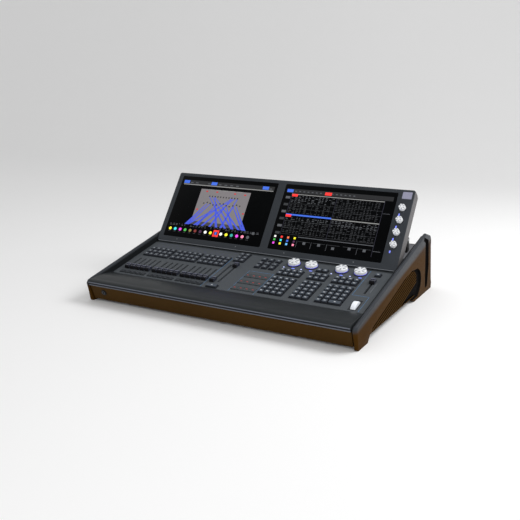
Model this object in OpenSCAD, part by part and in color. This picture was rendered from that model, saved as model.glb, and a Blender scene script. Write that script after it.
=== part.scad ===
// Lighting control desk: a wedge-shaped console between two side cheeks, with
// a twin touch screen that tilts, motor faders, rotary encoders and key banks.
// Origin: middle of the footprint on the table, X along the width, Y to the
// rear, Z up. Parts on the sloping top are drawn in a slope frame: x along the
// width, u up the slope (0 under the screen's lower edge), h square to it.

/* [Overall] */
// Overall width across the side cheeks
desk_w = 850; // [840:1:870]
// Overall depth of the side cheeks
desk_d = 645; // [640:1:655]
// Slope of the control surface in degrees
slope = 12.6; // [12:0.1:13]
// Height of the control surface under the screen's lower edge
line_z = 117.3; // [114:0.1:120]
// Distance of that line behind the middle of the desk
line_y = 10.8; // [8:0.1:12]

/* [Side cheeks] */
// Thickness of a side cheek
cheek_t = 11; // [10:0.5:12]
// Height of the cheek's crown above the control surface
crown_h = 21; // [18:0.5:23]
// Depth of the louvred vent recess
vent_depth = 7; // [5:0.5:8]
// Number of louvre slats in a vent
slat_count = 8; // [5:1:9]
// Thickness of a louvre slat
slat_t = 5; // [2:0.5:6]

/* [Screen unit] */
// Width of the screen unit
screen_unit_w = 817; // [805:1:818]
// Backward tilt of the screen face from upright in degrees
screen_tilt = 35.3; // [33:0.1:37]
// Depth of the screen unit's case
screen_case_d = 40; // [36:1:42]
// Width of one touch glass
glass_w = 362; // [352:1:366]
// Height of one touch glass
glass_h = 220; // [210:1:224]

/* [Keys] */
// Pitch of the keys along the width
key_px = 19; // [18.6:0.1:19.4]
// Pitch of the keys up the slope
key_pu = 20.3; // [19.8:0.1:20.6]
// Width of a key cap
key_w = 17; // [16:0.1:17.4]
// Length of a key cap
key_l = 18; // [17:0.1:18.4]
// Height of a key cap above the panel
key_rise = 5.5; // [4:0.1:7]
// Travel of a key
key_travel = 2; // [1.5:0.1:2.2]

/* [Faders] */
// Travel of a playback fader
fader_travel = 60; // [55:1:62]
// Travel of a crossfader
cross_travel = 100; // [95:1:102]
// Height of a fader knob above the panel
fader_rise = 10; // [8:0.5:12]
// Width of a fader knob
fader_w = 15; // [11:0.5:16]

/* [Rotary controls] */
// Diameter of a desk encoder knob
encoder_d = 36.5; // [32:0.5:38]
// Height of a desk encoder knob above the panel
encoder_rise = 12; // [10:0.5:14]
// Diameter of a screen encoder knob
small_knob_d = 20; // [17:0.5:22]
// Diameter of the intensity wheel
wheel_d = 52; // [48:1:54]
// Width of the intensity wheel
wheel_w = 14; // [12:0.5:18]

/* [Hidden] */
$fn = 48;
panel_t = 3;
sheet_t = 2.5;
half_w = desk_w / 2;
half_d = desk_d / 2;
cheek_in = half_w - cheek_t;
rail_t = 4;
rail_in = cheek_in - rail_t;
fit = 0.5;
panel_half = rail_in - fit;

// Places up the slope
panel_front = -229;
panel_rear = 64;
key_rows_playback = [for (i = [0:2]) -92 + key_pu * i];
flash_row = -214;
fader_low = -185;
cross_low = -186;
master_top = -67;
master_key_rows = [-51, -32.5, -14];
pad_rows_low = [for (i = [0:4]) -203 + key_pu * i];
pad_rows_high = [for (i = [0:1]) -91.5 + key_pu * i];
encoder_u = -25;
wheel_u = -196;

// Places along the width
group_x = [-344, -241.5, -139];
group_cols = [-2, -1, 0, 1, 2];
playback_x = [for (g = group_x, c = group_cols) g + c * key_px];
cross_x = [-73, -54];
master_x = 367;
menu_x = [10, 34, 58];
menu_rows = [-70, -49.7, -25];
macro_x = [for (i = [0:3]) 11 + 19.4 * i];
macro_rows = [-206, -168, -130];
go_x = -57;
go_u = -218;
pad_a_x = [for (i = [0:3]) 94.5 + key_px * i];
pad_b_x = [for (i = [0:2]) 190.5 + key_px * i];
pad_b_top_x = [197.5, 216.5];
pad_b_top_u = -43;
pad_c_x = [for (i = [0:3]) 265.5 + key_px * i];
encoder_x = [109, 165, 259, 315.5];
blackout_u = -25;
key_floor = 8;
board_h = -key_floor - key_travel - 0.5;
board_t = 1.6;

// Side outline of the desk
foot_h = 18;
corner_r = 12;
foot_r = 6;
crown_r = 12;
front_lean = 0.381;
front_z = 60;
nose_y = crown_r - half_d + 12 * front_lean;
fascia_y = -312;
fascia_top_z = 51;
fascia_bottom_z = 8;
fascia_lean = atan(front_lean);
lamp_x = -366;
lamp_z = 33;
lamp_y = fascia_y + (fascia_top_z - lamp_z) * front_lean;
rear_y = 172.5;
deck_front_y = 74;
deck_rise = 16;
tray_z = 14;

// Screen unit: v runs up the face, b runs back from it
face_y = line_y + 19.7;
face_z = line_z + 33.7;
screen_low = -34;
screen_high = 218.5;
bezel_t = 4;
glass_x = [-210.3, 179.3];
glass_v = 96.5;
tilt_v = 84;
tilt_b = 48;
bracket_x = 401;
knob_x = 383.7;
knob_v = [43.7, 82.1, 120.5, 158.9];

function slope_z(y) = line_z + (y - line_y) * tan(slope);
function slope_y(u) = line_y + u * cos(slope);
function front_y(z) = -half_d + (front_z - z) * front_lean;
function arc(cx, cy, r, a0, a1, n = 8) =
    [for (i = [0:n]) let (a = a0 + (a1 - a0) * i / n) [cx + r * cos(a), cy + r * sin(a)]];

// Slope frame: x along the width, u up the slope, h square to the surface
module on_slope() {
    translate([0, line_y, line_z]) rotate([slope, 0, 0]) children();
}

// Screen frame: x along the width, v up the face, and Z forward out of it
module on_screen() {
    translate([0, face_y, face_z]) rotate([90 - screen_tilt, 0, 0]) children();
}

// Solid with its outline in the Y-Z plane, between x0 and x1
module side_prism(x0, x1, points) {
    translate([x0, 0, 0]) rotate([90, 0, 90]) linear_extrude(x1 - x0) polygon(points);
}

module box_at(x, u, h0, w, l, height) {
    translate([x - w / 2, u - l / 2, h0]) cube([w, l, height]);
}

// ---- Side cheeks -------------------------------------------------------

function cheek_outline() = concat(
    arc(front_y(foot_r) + foot_r / cos(fascia_lean), foot_r, foot_r, 180 + fascia_lean, 270, 4),
    [[-234.5, 0]],
    [[-222, foot_h], [112, foot_h], [150, 0]],
    [[half_d - 2, 0], [half_d, 17], [half_d - 25, 142]],
    arc(half_d - 58, 150, 33, -10, 50, 6),
    arc(238, slope_z(238) + crown_h - 15, 15, 60, 90 + slope, 5),
    arc(nose_y, slope_z(nose_y) + crown_h - crown_r, crown_r, 90 + slope, 190, 8)
);

function vent_outline() = concat(
    [[-203, 33], [-216, foot_h - 1], [178, foot_h - 1]],
    arc(164, 53, 42, -50, 60, 10),
    [[164.5, 99], [105, 104], [34.5, 95], [-71.5, 67]]
);

// Keeps the cheek's front corner round in plan, along its leaning front edge
module front_corner() {
    reach = 2 * desk_d;
    translate([0, front_y(0), 0]) rotate([fascia_lean, 0, 0])
        translate([0, 0, -reach / 2]) linear_extrude(reach) polygon(concat(
            [[cheek_in - 1, reach], [cheek_in - 1, 0]],
            arc(half_w - corner_r, corner_r, corner_r, -90, 0, 6),
            [[half_w, reach]]));
}

module cheek_body() {
    difference() {
        intersection() {
            side_prism(cheek_in, half_w, cheek_outline());
            front_corner();
        }
        side_prism(half_w - vent_depth, half_w + 1, vent_outline());
        side_prism(half_w - vent_depth, half_w + 1, concat(
            arc(264, 28, 13, 180, 360, 8), [[280, 84], [268, 150], [262, 166]],
            [[216, 182], [213, 171], [232, 162]]));
    }
}

module cheek_right() {
    color("#5a3b22") cheek_body();
}

module cheek_left() {
    color("#5a3b22") mirror([1, 0, 0]) cheek_body();
}

// Slats follow the top edge of the vent, stop at its curved rear wall and are
// tied together by a thin rim along the lower edge
module louvre_set() {
    slat_slope = 14.5;
    slat_pitch = 9.4;
    side_prism(half_w - vent_depth, half_w - 1.5, [
        [-200, foot_h], [150, foot_h], [152, foot_h + 2.5], [-200, foot_h + 2.5]]);
    intersection() {
        side_prism(half_w - vent_depth, half_w - 1.5, [
            [-200, foot_h], [150, foot_h], [163, 40], [160, 80], [140, 96],
            [105, 102.5], [34.5, 93.5], [-71.5, 65.5], [-200, 32]]);
        for (i = [0:slat_count - 1])
            translate([half_w - vent_depth, 0, 81 - i * slat_pitch])
                rotate([slat_slope, 0, 0])
                    translate([0, -240, 0]) cube([vent_depth, 460, slat_t]);
    }
}

module louvres() {
    color("#4a3320") {
        louvre_set();
        mirror([1, 0, 0]) louvre_set();
    }
}

// Dark inner rails that line the cheeks and carry the top surfaces
module rail_body() {
    side_prism(rail_in, cheek_in, concat(
        [[front_y(20) + 24, 20], [rear_y, 20], [286, 20], [half_d - 32, 120]],
        [[268, 158], [232, slope_z(232) + 15]],
        [[-292, slope_z(-292) + 15], [-302, slope_z(-292) + 8]]));
}

module side_rails() {
    color("#1c1e21") {
        rail_body();
        mirror([1, 0, 0]) rail_body();
    }
}

// ---- Body --------------------------------------------------------------

module base_tray() {
    color("#26282b") side_prism(-rail_in, rail_in, [
        [-290, tray_z], [rear_y, tray_z], [rear_y, 34], [rear_y - sheet_t, 34],
        [rear_y - sheet_t, tray_z + sheet_t], [-287, tray_z + sheet_t],
        [-287, 26], [-289.5, 26]]);
}

module front_fascia() {
    lean = (fascia_top_z - fascia_bottom_z) * front_lean;
    color("#54361f") difference() {
        side_prism(-rail_in, rail_in, [
            [fascia_y, fascia_top_z], [fascia_y + lean, fascia_bottom_z],
            [fascia_y + lean + 3, fascia_bottom_z], [fascia_y + 3, fascia_top_z]]);
        translate([lamp_x, lamp_y, lamp_z]) rotate([90 + fascia_lean, 0, 0])
            cylinder(h = 30, d = 15, center = true);
    }
}

// Crowned rest between the keys and the nose, with a groove and lip below it
module palm_rest() {
    u_edge_y = slope_y(panel_front);
    u_edge_z = slope_z(u_edge_y);
    color("#2a2c2f") side_prism(-rail_in, rail_in, concat(
        [[u_edge_y - 0.5, u_edge_z - 9], [u_edge_y - 0.5, u_edge_z]],
        [[-225, 70.2], [-240, 72.2], [-256, 73], [-272, 72.9], [-288, 71.8], [-302, 69.8]],
        arc(-312.5, 61.5, 9, 65, 200, 10),
        [[-313, 57], [-313, 56.3], [-317.5, 56], [-318, 54], [-317, 52], [-308.5, 51.5]],
        [[-306, 56], [-300, 60]]));
}

module key_well(x0, x1, u0, u1) {
    margin = 1.2;
    translate([x0 - key_w / 2 - margin, u0 - key_l / 2 - margin, -panel_t - 1])
        cube([x1 - x0 + key_w + 2 * margin, u1 - u0 + key_l + 2 * margin, panel_t + 2]);
}

module fader_slot(x, u0, travel) {
    box_at(x, u0 + travel / 2, -panel_t - 1, 3, travel + 9, panel_t + 2);
}

module control_panel() {
    color("#34383d") on_slope() difference() {
        translate([-panel_half, panel_front, -panel_t])
            cube([2 * panel_half, panel_rear - panel_front, panel_t]);
        for (g = group_x) key_well(g - 2 * key_px, g + 2 * key_px,
            key_rows_playback[0], key_rows_playback[2]);
        for (x = playback_x) fader_slot(x, fader_low, fader_travel);
        for (x = cross_x) fader_slot(x, cross_low, cross_travel);
        fader_slot(master_x, master_top - fader_travel, fader_travel);
        for (x = playback_x) box_at(x, flash_row, -panel_t - 1, 17, 15, panel_t + 2);
        key_well(cross_x[0], cross_x[1], master_key_rows[0], master_key_rows[2]);
        box_at(go_x, go_u, -panel_t - 1, 37.6, 19.4, panel_t + 2);
        for (x = menu_x, u = menu_rows) key_well(x, x, u, u);
        for (x = macro_x, u = macro_rows) key_well(x, x, u, u);
        key_well(pad_a_x[0], pad_a_x[3], pad_rows_low[0], pad_rows_low[4]);
        key_well(pad_a_x[0], pad_a_x[3], pad_rows_high[0], pad_rows_high[1]);
        key_well(pad_b_x[0], pad_b_x[2], pad_rows_low[0], pad_rows_low[4]);
        key_well(pad_b_x[0], pad_b_x[2], pad_rows_high[0], pad_rows_high[1]);
        key_well(pad_b_top_x[0], pad_b_top_x[1], pad_b_top_u, pad_b_top_u);
        key_well(pad_c_x[0], pad_c_x[3], pad_rows_low[0], pad_rows_low[4]);
        key_well(pad_c_x[0], pad_c_x[3], pad_rows_high[0], pad_rows_high[1]);
        key_well(master_x, master_x, blackout_u, blackout_u);
        for (x = encoder_x) translate([x, encoder_u, -panel_t - 1])
            cylinder(h = panel_t + 2, d = 10.4);
        box_at(master_x, wheel_u, -panel_t - 1, wheel_w + 3, 46, panel_t + 2);
    }
}

module rear_deck() {
    y0 = deck_front_y;
    y1 = rear_y - sheet_t - 0.5;
    color("#3c4045") side_prism(-rail_in, rail_in, [
        [y0, slope_z(y0) - 4], [y0, slope_z(y0) + deck_rise],
        [y1, slope_z(y1) + deck_rise], [y1, slope_z(y1) + deck_rise - 20],
        [y1 - 3, slope_z(y1) + deck_rise - 20], [y1 - 3, slope_z(y1) + deck_rise - 3],
        [y0 + 3, slope_z(y0) + deck_rise - 3], [y0 + 3, slope_z(y0) - 4]]);
}

// Rear sockets: round ones in a row, then square ones and the mains inlet
round_x = [-300:34:-130];
square_x = [-60, -30, 0, 30];
inlet_x = 100;
socket_z = 110;

module round_socket() {
    difference() {
        cylinder(h = 16, d = 21.6);
        translate([0, 0, -1]) cylinder(h = 9, d = 16);
    }
}

module square_socket(w, height, mouth_w, mouth_h) {
    difference() {
        translate([0, -5, 0]) cube([w, 13, height], center = true);
        translate([0, 1, 0]) cube([mouth_w, 10, mouth_h], center = true);
    }
}

module rear_panel() {
    color("#2b2d30") difference() {
        translate([-rail_in, rear_y - sheet_t, 34.2])
            cube([2 * rail_in, sheet_t, slope_z(rear_y) + deck_rise - 34.4]);
        for (x = round_x) translate([x, rear_y + 1, socket_z]) rotate([90, 0, 0])
            cylinder(h = 6, d = 22);
        for (x = square_x) translate([x, rear_y, socket_z]) cube([16, 8, 14], center = true);
        translate([inlet_x, rear_y, socket_z]) cube([28, 8, 22], center = true);
    }
}

module connectors() {
    color("#131416") {
        for (x = round_x) translate([x, rear_y + 2, socket_z]) rotate([90, 0, 0]) round_socket();
        for (x = square_x) translate([x, rear_y, socket_z]) square_socket(15.6, 13.6, 11.6, 9);
        translate([inlet_x, rear_y, socket_z]) square_socket(27.6, 21.6, 22, 15);
        translate([lamp_x, lamp_y, lamp_z]) rotate([90 + fascia_lean, 0, 0])
            translate([0, 0, -10]) difference() {
                union() {
                    cylinder(h = 12.5, d = 14.4);
                    translate([0, 0, 10]) cylinder(h = 1.5, d = 18);
                }
                translate([0, 0, 4]) cylinder(h = 10, d = 6.4);
            }
    }
}

module rubber_feet() {
    color("#151617") for (x = [-380, 380], y = [-262, 145])
        translate([x, y, 0]) cylinder(h = tray_z, d1 = 30, d2 = 36);
}

// ---- Faders ------------------------------------------------------------

module fader_knob(x, u) {
    stem_w = 1.6;
    color("#2b2d31") on_slope() translate([x, u, 0]) {
        translate([0, 0, 1]) rotate([90, 0, 90]) linear_extrude(fader_w, center = true)
            polygon([[-10.5, 0], [10.5, 0], [9, fader_rise - 3], [6, fader_rise - 1],
                [2, fader_rise - 2.2], [-2, fader_rise - 2.2], [-6, fader_rise - 1],
                [-9, fader_rise - 3]]);
        translate([-stem_w / 2, -3, -11]) cube([stem_w, 6, 13]);
    }
}

module crossfader_knob_left() { fader_knob(cross_x[0], cross_low); }
module crossfader_knob_right() { fader_knob(cross_x[1], cross_low + cross_travel); }
module grand_master_knob() { fader_knob(master_x, master_top); }

module fader_track(x, u0, travel) {
    difference() {
        box_at(x, u0 + travel / 2, -18, 12, travel + 26, 14.5);
        box_at(x, u0 + travel / 2, -12.5, 3.6, travel + 10, 10);
    }
}

// Motor fader bodies under the panel
module fader_tracks() {
    color("#8c9196") on_slope() {
        for (x = playback_x) fader_track(x, fader_low, fader_travel);
        for (x = cross_x) fader_track(x, cross_low, cross_travel);
        fader_track(master_x, master_top - fader_travel, fader_travel);
    }
}

// ---- Rotary controls ---------------------------------------------------

module desk_encoder(x) {
    color("#d8dadd") on_slope() translate([x, encoder_u, 0]) {
        translate([0, 0, 0.8]) cylinder(h = 3.2, d = encoder_d + 2.5);
        translate([0, 0, 4]) cylinder(h = encoder_rise - 6.5, d = encoder_d);
        translate([0, 0, encoder_rise - 2.5])
            cylinder(h = 2.5, d1 = encoder_d, d2 = encoder_d - 8);
        translate([0, 0, -12]) cylinder(h = 13, d = 6);
    }
}

module screen_encoder(v) {
    color("#d8dadd") on_screen() translate([knob_x, v, 0]) {
        translate([0, 0, 0.6]) cylinder(h = 11, d = small_knob_d);
        translate([0, 0, 11.6]) cylinder(h = 2, d1 = small_knob_d, d2 = small_knob_d - 4);
        translate([0, 0, -bezel_t - 8]) cylinder(h = bezel_t + 9, d = 6);
    }
}

module intensity_wheel() {
    color("#f2f4f6") on_slope() translate([master_x, wheel_u, 0])
        translate([0, 0, 9 - wheel_d / 2]) rotate([0, 90, 0]) {
            cylinder(h = wheel_w, d = wheel_d, center = true, $fn = 72);
            cylinder(h = wheel_w + 15, d = 8, center = true);
        }
}

// Encoder bodies under the panel and the fork that carries the wheel's axle
module encoder_modules() {
    color("#7d838a") on_slope() {
        for (x = encoder_x) translate([x, encoder_u, -18]) difference() {
            union() {
                box_at(0, 0, 0, 16, 16, 14.5);
                cylinder(h = 18, d = 9.6);
            }
            translate([0, 0, 5]) cylinder(h = 15, d = 6.6);
        }
        for (s = [-1, 1]) translate([master_x + s * (wheel_w / 2 + 4), wheel_u, 9 - wheel_d / 2])
            difference() {
                translate([-1.5, -8, -8]) cube([3, 16, 21.5]);
                rotate([0, 90, 0]) cylinder(h = 6, d = 8.6, center = true);
            }
    }
}

// Key boards under each bank, and the main board on the tray
module circuit_boards() {
    color("#1f5a3a") {
        on_slope() {
            translate([-395, -103.5, board_h - board_t]) cube([309, 64, board_t]);
            translate([-84, -62, board_h - board_t]) cube([42, 60, board_t]);
            translate([-395, -228, board_h - board_t]) cube([358, 22, board_t]);
            translate([0, -224, board_h - board_t]) cube([344, 188, board_t]);
            translate([354, -36, board_h - board_t]) cube([26, 22, board_t]);
        }
        translate([-120, -60, tray_z + 10]) cube([260, 190, board_t]);
        for (x = [-112, 132], y = [-52, 122]) translate([x, y, tray_z + sheet_t])
            cylinder(h = 10 - sheet_t, d = 6);
    }
}

module power_supply() {
    color("#a7abb0") translate([170, -20, tray_z + sheet_t]) cube([180, 110, 45]);
}

// ---- Keys --------------------------------------------------------------

module key(x, u, w = key_w, l = key_l, rise = key_rise) {
    box_at(x, u, -key_floor, w, l, key_floor + rise);
}

module key_grid(xs, us) {
    for (x = xs, u = us) key(x, u);
}

module playback_keys() { color("#5b6067") on_slope() key_grid(playback_x, key_rows_playback); }
module master_keys() { color("#5b6067") on_slope() key_grid(cross_x, master_key_rows); }
module menu_keys() { color("#5b6067") on_slope() key_grid(menu_x, menu_rows); }
module go_key() { color("#5b6067") on_slope() key(go_x, go_u, 36, key_l); }
module blackout_key() { color("#5b6067") on_slope() key(master_x, blackout_u); }

module flash_keys() {
    color("#303439") on_slope() for (x = playback_x) key(x, flash_row, 16, 14, 2.6);
}

module macro_keys() {
    color("#303439") on_slope() for (x = macro_x, u = macro_rows) key(x, u, key_w, key_l, 2.6);
}

module keypad_left() {
    color("#4d525a") on_slope() {
        key_grid(pad_a_x, pad_rows_low);
        key_grid(pad_a_x, pad_rows_high);
    }
}

module keypad_middle() {
    color("#4d525a") on_slope() {
        key_grid(pad_b_x, pad_rows_low);
        key_grid(pad_b_x, pad_rows_high);
        key_grid(pad_b_top_x, [pad_b_top_u]);
    }
}

module keypad_right() {
    color("#4d525a") on_slope() {
        key_grid(pad_c_x, [for (i = [1:4]) pad_rows_low[i]]);
        key_grid([pad_c_x[0], pad_c_x[1]], [pad_rows_low[0]]);
        key_grid(pad_c_x, pad_rows_high);
        key((pad_c_x[2] + pad_c_x[3]) / 2, pad_rows_low[0], key_w + key_px);
    }
}

// ---- Screen unit -------------------------------------------------------

function case_outline(inset = 0) = [
    [screen_low + 1 + inset, -bezel_t],
    [screen_low + 3 + inset, -6 - inset],
    [29 + inset * 0.4, -screen_case_d + inset],
    [screen_high - 6 - inset, -screen_case_d + inset],
    [screen_high - 1 - inset, -screen_case_d + 12],
    [screen_high - 1 - inset, -bezel_t]
];

module case_prism(half, inset = 0) {
    translate([-half, 0, 0]) rotate([90, 0, 90]) linear_extrude(2 * half)
        polygon(case_outline(inset));
}

module screen_housing() {
    wall = 3;
    color("#6b6a68") on_screen() difference() {
        case_prism(screen_unit_w / 2 - 1);
        case_prism(screen_unit_w / 2 - 1 - wall, wall);
        translate([1 - screen_unit_w / 2 + wall, screen_low + 6, -bezel_t - 1])
            cube([screen_unit_w - 2 - 2 * wall, screen_high - screen_low - 11, 2]);
    }
}

module glass_shape(x, grow, depth) {
    translate([x - glass_w / 2 - grow, glass_v - glass_h / 2 - grow, -depth])
        cube([glass_w + 2 * grow, glass_h + 2 * grow, depth + 1]);
}

module screen_bezel() {
    color("#3a3e44") on_screen() difference() {
        translate([-screen_unit_w / 2, screen_low, -bezel_t])
            cube([screen_unit_w, screen_high - screen_low, bezel_t]);
        for (x = glass_x) glass_shape(x, 0.2, bezel_t + 1);
        for (v = knob_v) translate([knob_x, v, -bezel_t - 1]) cylinder(h = bezel_t + 2, d = 6.6);
    }
}

module touch_glasses() {
    color("#0b0c0e") on_screen() for (x = glass_x)
        translate([x - glass_w / 2, glass_v - glass_h / 2, -2.5]) cube([glass_w, glass_h, 2.3]);
}

module display_panels() {
    color("#202226") on_screen() for (x = glass_x)
        translate([x - 177, glass_v - 102, -11]) cube([354, 204, 8.3]);
}

module hinge_lugs() {
    color("#17181a") on_screen() for (s = [-1, 1]) translate([s * (bracket_x - 12), 0, 0])
        difference() {
            translate([-4.5, tilt_v - 12, -tilt_b - 8])
                cube([9, 24, tilt_b + 8 - screen_case_d]);
            translate([0, tilt_v, -tilt_b]) rotate([0, 90, 0])
                cylinder(h = 20, d = 8, center = true);
        }
}

// Place of the tilt axis in the side view
axis_y = face_y + tilt_v * sin(screen_tilt) + tilt_b * cos(screen_tilt);
axis_z = face_z + tilt_v * cos(screen_tilt) - tilt_b * sin(screen_tilt);

module at_tilt_axis() {
    translate([0, axis_y, axis_z]) rotate([0, 90, 0]) children();
}

// Round-headed posts on the deck that hold the tilt axis
module hinge_brackets() {
    r = 7.5;
    color("#111214") for (s = [-1, 1]) difference() {
        union() {
            translate([s * bracket_x, 0, 0]) at_tilt_axis() cylinder(h = 12, r = r, center = true);
            side_prism(s * bracket_x - 6, s * bracket_x + 6, [
                [axis_y - r, axis_z], [axis_y - r, slope_z(axis_y - r) + deck_rise],
                [axis_y + r, slope_z(axis_y + r) + deck_rise], [axis_y + r, axis_z]]);
        }
        translate([s * bracket_x, 0, 0]) at_tilt_axis() cylinder(h = 30, d = 8, center = true);
    }
}

module hinge_pins() {
    color("#b9bcc0") for (s = [-1, 1]) translate([s * (bracket_x - 5.25), 0, 0]) at_tilt_axis()
        cylinder(h = 23, d = 7.9, center = true);
}

for (i = [1:15])
    fader_knob(playback_x[i - 1], fader_low);
crossfader_knob_left();
crossfader_knob_right();
grand_master_knob();
for (i = [1:4])
    desk_encoder(encoder_x[i - 1]);
for (i = [1:4])
    screen_encoder(knob_v[i - 1]);
intensity_wheel();
playback_keys();
flash_keys();
master_keys();
go_key();
menu_keys();
macro_keys();
keypad_left();
keypad_middle();
keypad_right();
blackout_key();
screen_housing();
screen_bezel();
touch_glasses();
display_panels();
hinge_lugs();
hinge_brackets();
hinge_pins();
base_tray();
front_fascia();
palm_rest();
control_panel();
cheek_left();
cheek_right();
louvres();
side_rails();
rear_deck();
rear_panel();
connectors();
rubber_feet();
fader_tracks();
encoder_modules();
circuit_boards();
power_supply();
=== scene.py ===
import math
import random

import bmesh
import bpy
from mathutils import Matrix, Vector


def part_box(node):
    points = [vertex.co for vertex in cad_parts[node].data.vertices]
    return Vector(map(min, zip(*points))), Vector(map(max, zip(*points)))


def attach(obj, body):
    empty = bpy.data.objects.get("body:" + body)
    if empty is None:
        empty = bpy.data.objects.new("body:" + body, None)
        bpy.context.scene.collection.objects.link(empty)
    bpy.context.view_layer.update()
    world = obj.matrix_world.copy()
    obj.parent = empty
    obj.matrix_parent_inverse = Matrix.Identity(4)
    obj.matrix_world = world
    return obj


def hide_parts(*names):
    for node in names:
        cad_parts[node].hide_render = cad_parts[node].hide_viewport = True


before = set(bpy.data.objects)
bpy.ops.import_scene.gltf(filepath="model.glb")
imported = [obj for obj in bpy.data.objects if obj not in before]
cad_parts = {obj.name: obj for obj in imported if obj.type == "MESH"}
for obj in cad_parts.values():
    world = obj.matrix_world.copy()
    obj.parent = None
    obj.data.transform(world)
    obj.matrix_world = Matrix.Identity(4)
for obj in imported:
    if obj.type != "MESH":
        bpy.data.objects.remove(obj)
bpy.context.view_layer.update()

# Lighting control desk. Local drawing frames are in millimetres: the slope
# frame (x, up the slope, out of it) lies on the control surface, the screen
# frame (x, up the face, out of it) on the bezel's face, and the side frame
# (rear, up, right) looks at the desk from its right-hand side.

MM = 0.001

SLOPE = math.radians(12.6)
LINE_Y, LINE_Z = 10.8, 117.3
SCREEN_LEAN = math.radians(35.3)
FACE_Y, FACE_Z = 30.5, 151.0
FRONT_LEAN = 0.381
NOSE_Y, NOSE_Z = -322.5, 60
CHEEK_INNER, RECESS_FLOOR, SLAT_FACE, CHEEK_OUTER = 414.0, 418.0, 423.5, 425.0

SCALE = Matrix.Scale(MM, 4)
SLOPE_FRAME = SCALE @ Matrix.Translation((0, LINE_Y, LINE_Z)) @ Matrix.Rotation(SLOPE, 4, "X")
SCREEN_FRAME = (SCALE @ Matrix.Translation((0, FACE_Y, FACE_Z))
                @ Matrix.Rotation(math.pi / 2 - SCREEN_LEAN, 4, "X"))
SIDE_FRAME = SCALE @ Matrix(((0, 0, 1, 0), (1, 0, 0, 0), (0, 1, 0, 0), (0, 0, 0, 1)))


def slope_height(y):
    """Height in millimetres of the control surface at a distance y behind the middle."""
    return LINE_Z + (y - LINE_Y) * math.tan(SLOPE)


# ---- Camera, floor and light ----

def add_camera():
    """Camera fitted to the photograph, in metres."""
    place, direction = (0.9934, -1.8097, 0.6417), (-0.4708, 0.8460, -0.2502)
    data = bpy.data.cameras.new("camera")
    data.lens, data.sensor_width = 48.87, 36
    camera = bpy.data.objects.new("camera", data)
    camera.location = place
    camera.rotation_mode = "QUATERNION"
    camera.rotation_quaternion = Vector(direction).to_track_quat("-Z", "Y")
    bpy.context.scene.collection.objects.link(camera)
    bpy.context.scene.camera = camera


def area_light(name, place, target, size, power):
    data = bpy.data.lights.new(name, "AREA")
    data.shape, data.size = "DISK", size
    data.energy = power
    light = bpy.data.objects.new(name, data)
    light.location = place
    aim = Vector(target) - Vector(place)
    light.rotation_mode = "QUATERNION"
    light.rotation_quaternion = aim.to_track_quat("-Z", "Y")
    bpy.context.scene.collection.objects.link(light)


def add_studio():
    world = bpy.data.worlds.new("studio")
    world.use_nodes = True
    world.node_tree.nodes["Background"].inputs["Color"].default_value = (1, 1, 1, 1)
    world.node_tree.nodes["Background"].inputs["Strength"].default_value = 0.6
    bpy.context.scene.world = world
    bpy.context.scene.view_settings.view_transform = "Standard"
    area_light("key_light", (1.7, 0.7, 2.2), (0.1, 0, 0.1), 1.6, 40)
    area_light("front_light", (1.6, -2.8, 1.6), (0, 0, 0.1), 1.4, 18)


def add_floor():
    """Pale paper sweep: flat under the desk, curving up into a wall behind it."""
    half, front, bend_y, bend_r, wall = 8, -8, 2.6, 1.6, 7
    steps = [math.radians(a) for a in range(0, 91, 10)]
    side = ([(front, 0)] + [(bend_y + bend_r * math.sin(a), bend_r * (1 - math.cos(a))) for a in steps]
            + [(bend_y + bend_r, wall)])
    points = [(x, y, z) for y, z in side for x in (-half, half)]
    faces = [(k, k + 1, k + 3, k + 2) for k in range(0, len(points) - 2, 2)]
    mesh = bpy.data.meshes.new("floor")
    mesh.from_pydata(points, [], faces)
    mesh.shade_smooth()
    floor = bpy.data.objects.new("floor", mesh)
    bpy.context.scene.collection.objects.link(floor)
    paper = surface("floor_paper", (0.95, 0.95, 0.95), rough=0.95, vary=0.004, patch=900,
                    grain=2, depth=0.005)
    mesh.materials.append(paper)


# ---- Materials ----

def srgb(red, green, blue):
    """Linear colour from the usual 0 to 255 screen values."""
    def linear(c):
        c /= 255
        return c / 12.92 if c <= 0.04045 else ((c + 0.055) / 1.055) ** 2.4
    return linear(red), linear(green), linear(blue)


def new_material(name):
    material = bpy.data.materials.new(name)
    material.use_nodes = True
    tree = material.node_tree
    return material, tree, tree.nodes["Principled BSDF"]


def noise(tree, size, detail=3):
    """Noise whose features are about size millimetres, fixed to the object."""
    place = tree.nodes.new("ShaderNodeTexCoord")
    texture = tree.nodes.new("ShaderNodeTexNoise")
    texture.inputs["Scale"].default_value = 1 / (size * MM)
    texture.inputs["Detail"].default_value = detail
    tree.links.new(place.outputs["Object"], texture.inputs["Vector"])
    return texture.outputs["Fac"]


def map_range(tree, value, start, end, low, high, kind="LINEAR"):
    """Change from low to high while value goes from start to end."""
    node = tree.nodes.new("ShaderNodeMapRange")
    node.interpolation_type = kind
    node.inputs["From Min"].default_value, node.inputs["From Max"].default_value = start, end
    node.inputs["To Min"].default_value, node.inputs["To Max"].default_value = low, high
    tree.links.new(value, node.inputs["Value"])
    return node.outputs["Result"]


def spread(tree, value, low, high):
    """Maps a noise value to the range low to high."""
    return map_range(tree, value, 0.3, 0.7, low, high)


def soft_step(tree, value, start, end, low=0.0, high=1.0):
    """Smooth change from low to high while value goes from start to end (millimetres)."""
    return map_range(tree, value, start * MM, end * MM, low, high, "SMOOTHSTEP")


def shade_mix(tree, factor, first, second):
    node = tree.nodes.new("ShaderNodeMix")
    node.data_type = "RGBA"
    tree.links.new(factor, node.inputs["Factor"])
    for socket, colour in ((node.inputs["A"], first), (node.inputs["B"], second)):
        if isinstance(colour, tuple):
            socket.default_value = (*colour, 1)
        else:
            tree.links.new(colour, socket)
    return node.outputs["Result"]


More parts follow.
